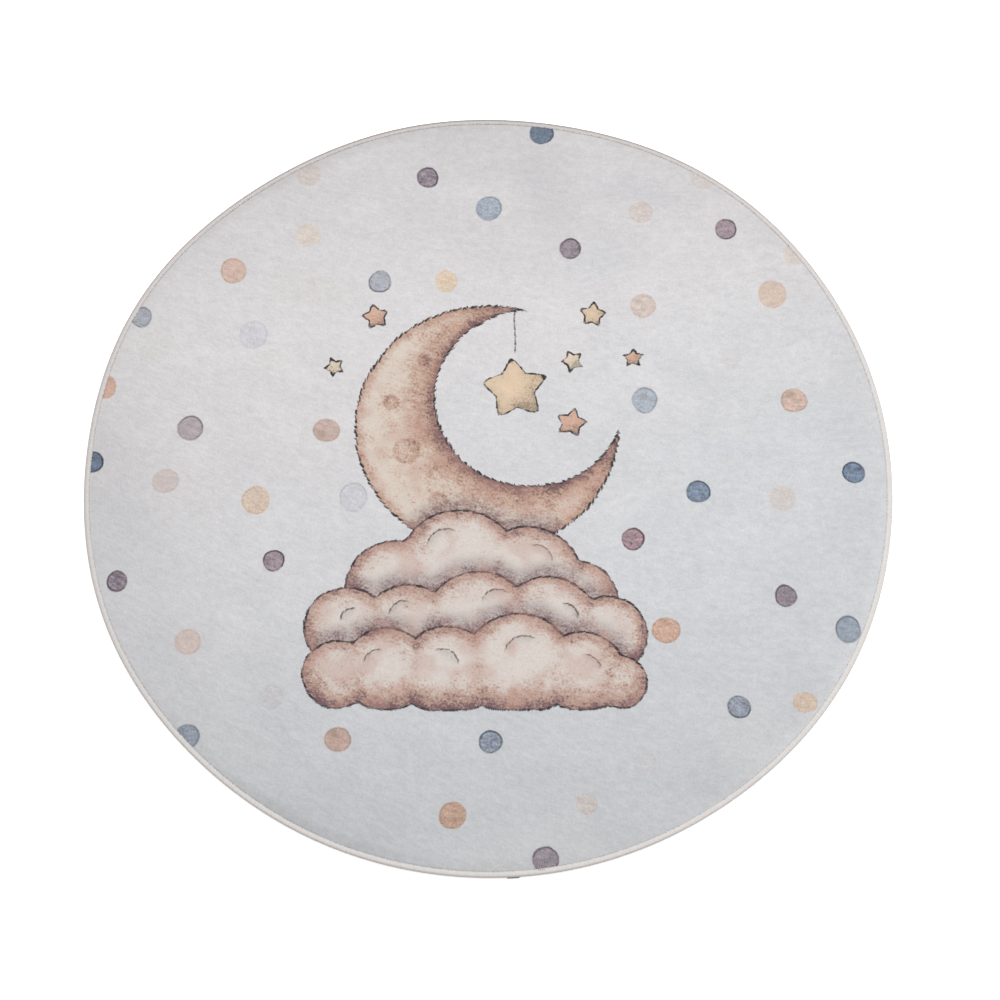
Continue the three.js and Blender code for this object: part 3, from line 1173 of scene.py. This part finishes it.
def build_edge_yarn(material):
    """The overlocked edge: yarn wraps side by side over the rim, each a little different."""
    rng = np.random.default_rng(YARN_SEED)
    insets, heights = np.transpose(WRAP_WAY)
    pitch = TURN / WRAP_COUNT
    share = np.linspace(0, 1, len(WRAP_WAY))
    start = JOIN_ANGLE + (np.arange(WRAP_COUNT) + rng.normal(0, WRAP_JITTER, WRAP_COUNT)) * pitch
    angles = start[:, None] + share * WRAP_SLANT * pitch
    lift = rng.normal(0, WRAP_LIFT, WRAP_COUNT)[:, None] * np.sin(share * math.pi)
    needle = rng.normal(0, NEEDLE_JITTER, WRAP_COUNT)[:, None] * (1 - share) ** 3
    middles = on_rug(angles, insets - lift + needle, heights + lift)
    middles[..., 2] = np.maximum(middles[..., 2], WRAP_THICKNESS / 2)
    radii = outer_radius(angles.ravel()).reshape(angles.shape)
    width = pitch * radii * WRAP_OVERLAP * np.interp(share, [0, PULLED_SHARE, 1], [PULLED_IN, 1, 1])
    tones = tones_of(angles, wrap_depth(angles, insets, heights), rng.uniform(0, 1, WRAP_COUNT)[:, None])
    sideways = level(angles + TURN / 4)
    return add_tubes("edge_yarn", middles, sideways, width, WRAP_THICKNESS, WRAP_SIDES, tones, material)


def build_needle_thread(material):
    """The needle thread: a line of short stitches all round, over the inner ends of the wraps."""
    rng = np.random.default_rng(YARN_SEED + 1)
    pitch = TURN / STITCH_COUNT
    share, heights = np.transpose(STITCH_WAY)
    angles = JOIN_ANGLE + (np.arange(STITCH_COUNT)[:, None] + share) * pitch
    inset = STITCH_INSET + rng.normal(0, STITCH_JITTER, STITCH_COUNT)[:, None]
    middles = on_rug(angles, inset, heights)
    tones = tones_of(angles, 0, rng.uniform(0, 1, STITCH_COUNT)[:, None])
    size = STITCH_THICKNESS
    return add_tubes("needle_thread", middles, level(angles), size, size, STITCH_SIDES, tones, material)


def build_start_stitches(material):
    """The few threads that hold the start of the edge yarn, side by side, reaching into the pile."""
    spacing = START_SPACING / outer_radius(START_ANGLE)[0]
    steps = (np.arange(START_STITCHES) - (START_STITCHES - 1) / 2) * spacing
    insets, heights = np.transpose(START_WAY)
    angles = np.broadcast_to((START_ANGLE + steps)[:, None], (START_STITCHES, len(START_WAY)))
    middles = on_rug(angles, insets, heights)
    sideways = level(angles + TURN / 4)
    tones = tones_of(angles, 0, 0)
    size = START_THICKNESS
    return add_tubes("start_stitches", middles, sideways, size, size, START_SIDES, tones, material)


def build_yarn_tail(material):
    """The loose end of the edge yarn: two plies twisted together, lying along the outside of the join."""
    share = np.linspace(0, 1, TAIL_STEPS)
    angles = JOIN_ANGLE + (share - 0.5) * TAIL_LENGTH / outer_radius(JOIN_ANGLE)[0]
    tuck = np.interp(share, *columns(TAIL_TUCK, "share inset").T)
    twist = share * TAIL_TURNS * TURN + np.array(TAIL_PLIES)[:, None]
    angles = np.broadcast_to(angles, twist.shape)
    insets = tuck - TAIL_OUTSIDE + np.cos(twist) * TAIL_PLY_OFFSET
    middles = on_rug(angles, insets, TAIL_HEIGHT + np.sin(twist) * TAIL_PLY_OFFSET)
    tones = tones_of(angles, TAIL_SHADE, 0)
    size = TAIL_PLY_THICKNESS
    return add_tubes("yarn_tail", middles, level(angles), size, size, TAIL_SIDES, tones, material)


def build_floor():
    """A plain pale floor just below the rug."""
    half = FLOOR_SIZE / 2
    corners = np.array([(-half, -half, 0), (half, -half, 0), (half, half, 0), (-half, half, 0)])
    settings = {"Base Color": FLOOR_PAINT, "Emission Color": WHITE, "Emission Strength": FLOOR_GLOW}
    material, _ = new_material("pale_floor", {"Roughness": 0.9, **settings})
    add_mesh("studio_floor", corners - (0, 0, FLOOR_DROP), [[0, 1, 2, 3]], [material])


def build_light():
    """Soft daylight all round, and one large soft lamp above the upper right of the print."""
    world = bpy.data.worlds.new("soft_daylight")
    world.use_nodes = True
    set_inputs(world.node_tree.nodes["Background"], {"Color": WHITE, "Strength": WORLD_STRENGTH})
    bpy.context.scene.world = world
    lamp = bpy.data.lights.new("key_lamp", "AREA")
    lamp.energy = KEY_POWER
    lamp.size = KEY_SIZE
    key = add_object("key_lamp", lamp)
    key.location = KEY_PLACE
    key.rotation_euler = direction_to(key.location, (0.0, 0.0, 0.0))


def direction_to(start, end):
    """The turn of a lamp or camera at start that looks at end."""
    return (Vector(end) - Vector(start)).to_track_quat("-Z", "Y").to_euler()


def build_camera():
    data = bpy.data.cameras.new("studio_camera")
    data.lens = CAMERA_LENS_MM
    data.sensor_width = CAMERA_SENSOR_MM
    camera = add_object("studio_camera", data)
    back = (0.0, -math.cos(CAMERA_ELEVATION), math.sin(CAMERA_ELEVATION))
    camera.location = [aim + CAMERA_DISTANCE * away for aim, away in zip(CAMERA_AIM, back)]
    camera.rotation_euler = direction_to(camera.location, CAMERA_AIM)
    bpy.context.scene.camera = camera


build_camera()
build_light()
build_floor()
shared = {
    "grain": pile_grain_group(),
    "twist": yarn_twist_group(),
    "wash": wash_group(),
    "pencil": pencil_group(),
}
cloth = build_cloth(shared)
edge = build_edge_yarn(yarn(shared, "edge_binding_yarn"))
stitches = build_needle_thread(yarn(shared, "needle_thread"))
starts = build_start_stitches(yarn(shared, "start_thread"))
tail = build_yarn_tail(yarn(shared, "tucked_yarn"))

for piece in (cloth, edge, stitches, starts, tail):
    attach(piece, "root")
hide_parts("pile_cloth")
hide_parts("edge_binding")

scene = bpy.context.scene
scene.view_settings.view_transform = "Standard"
scene.view_settings.look = "None"
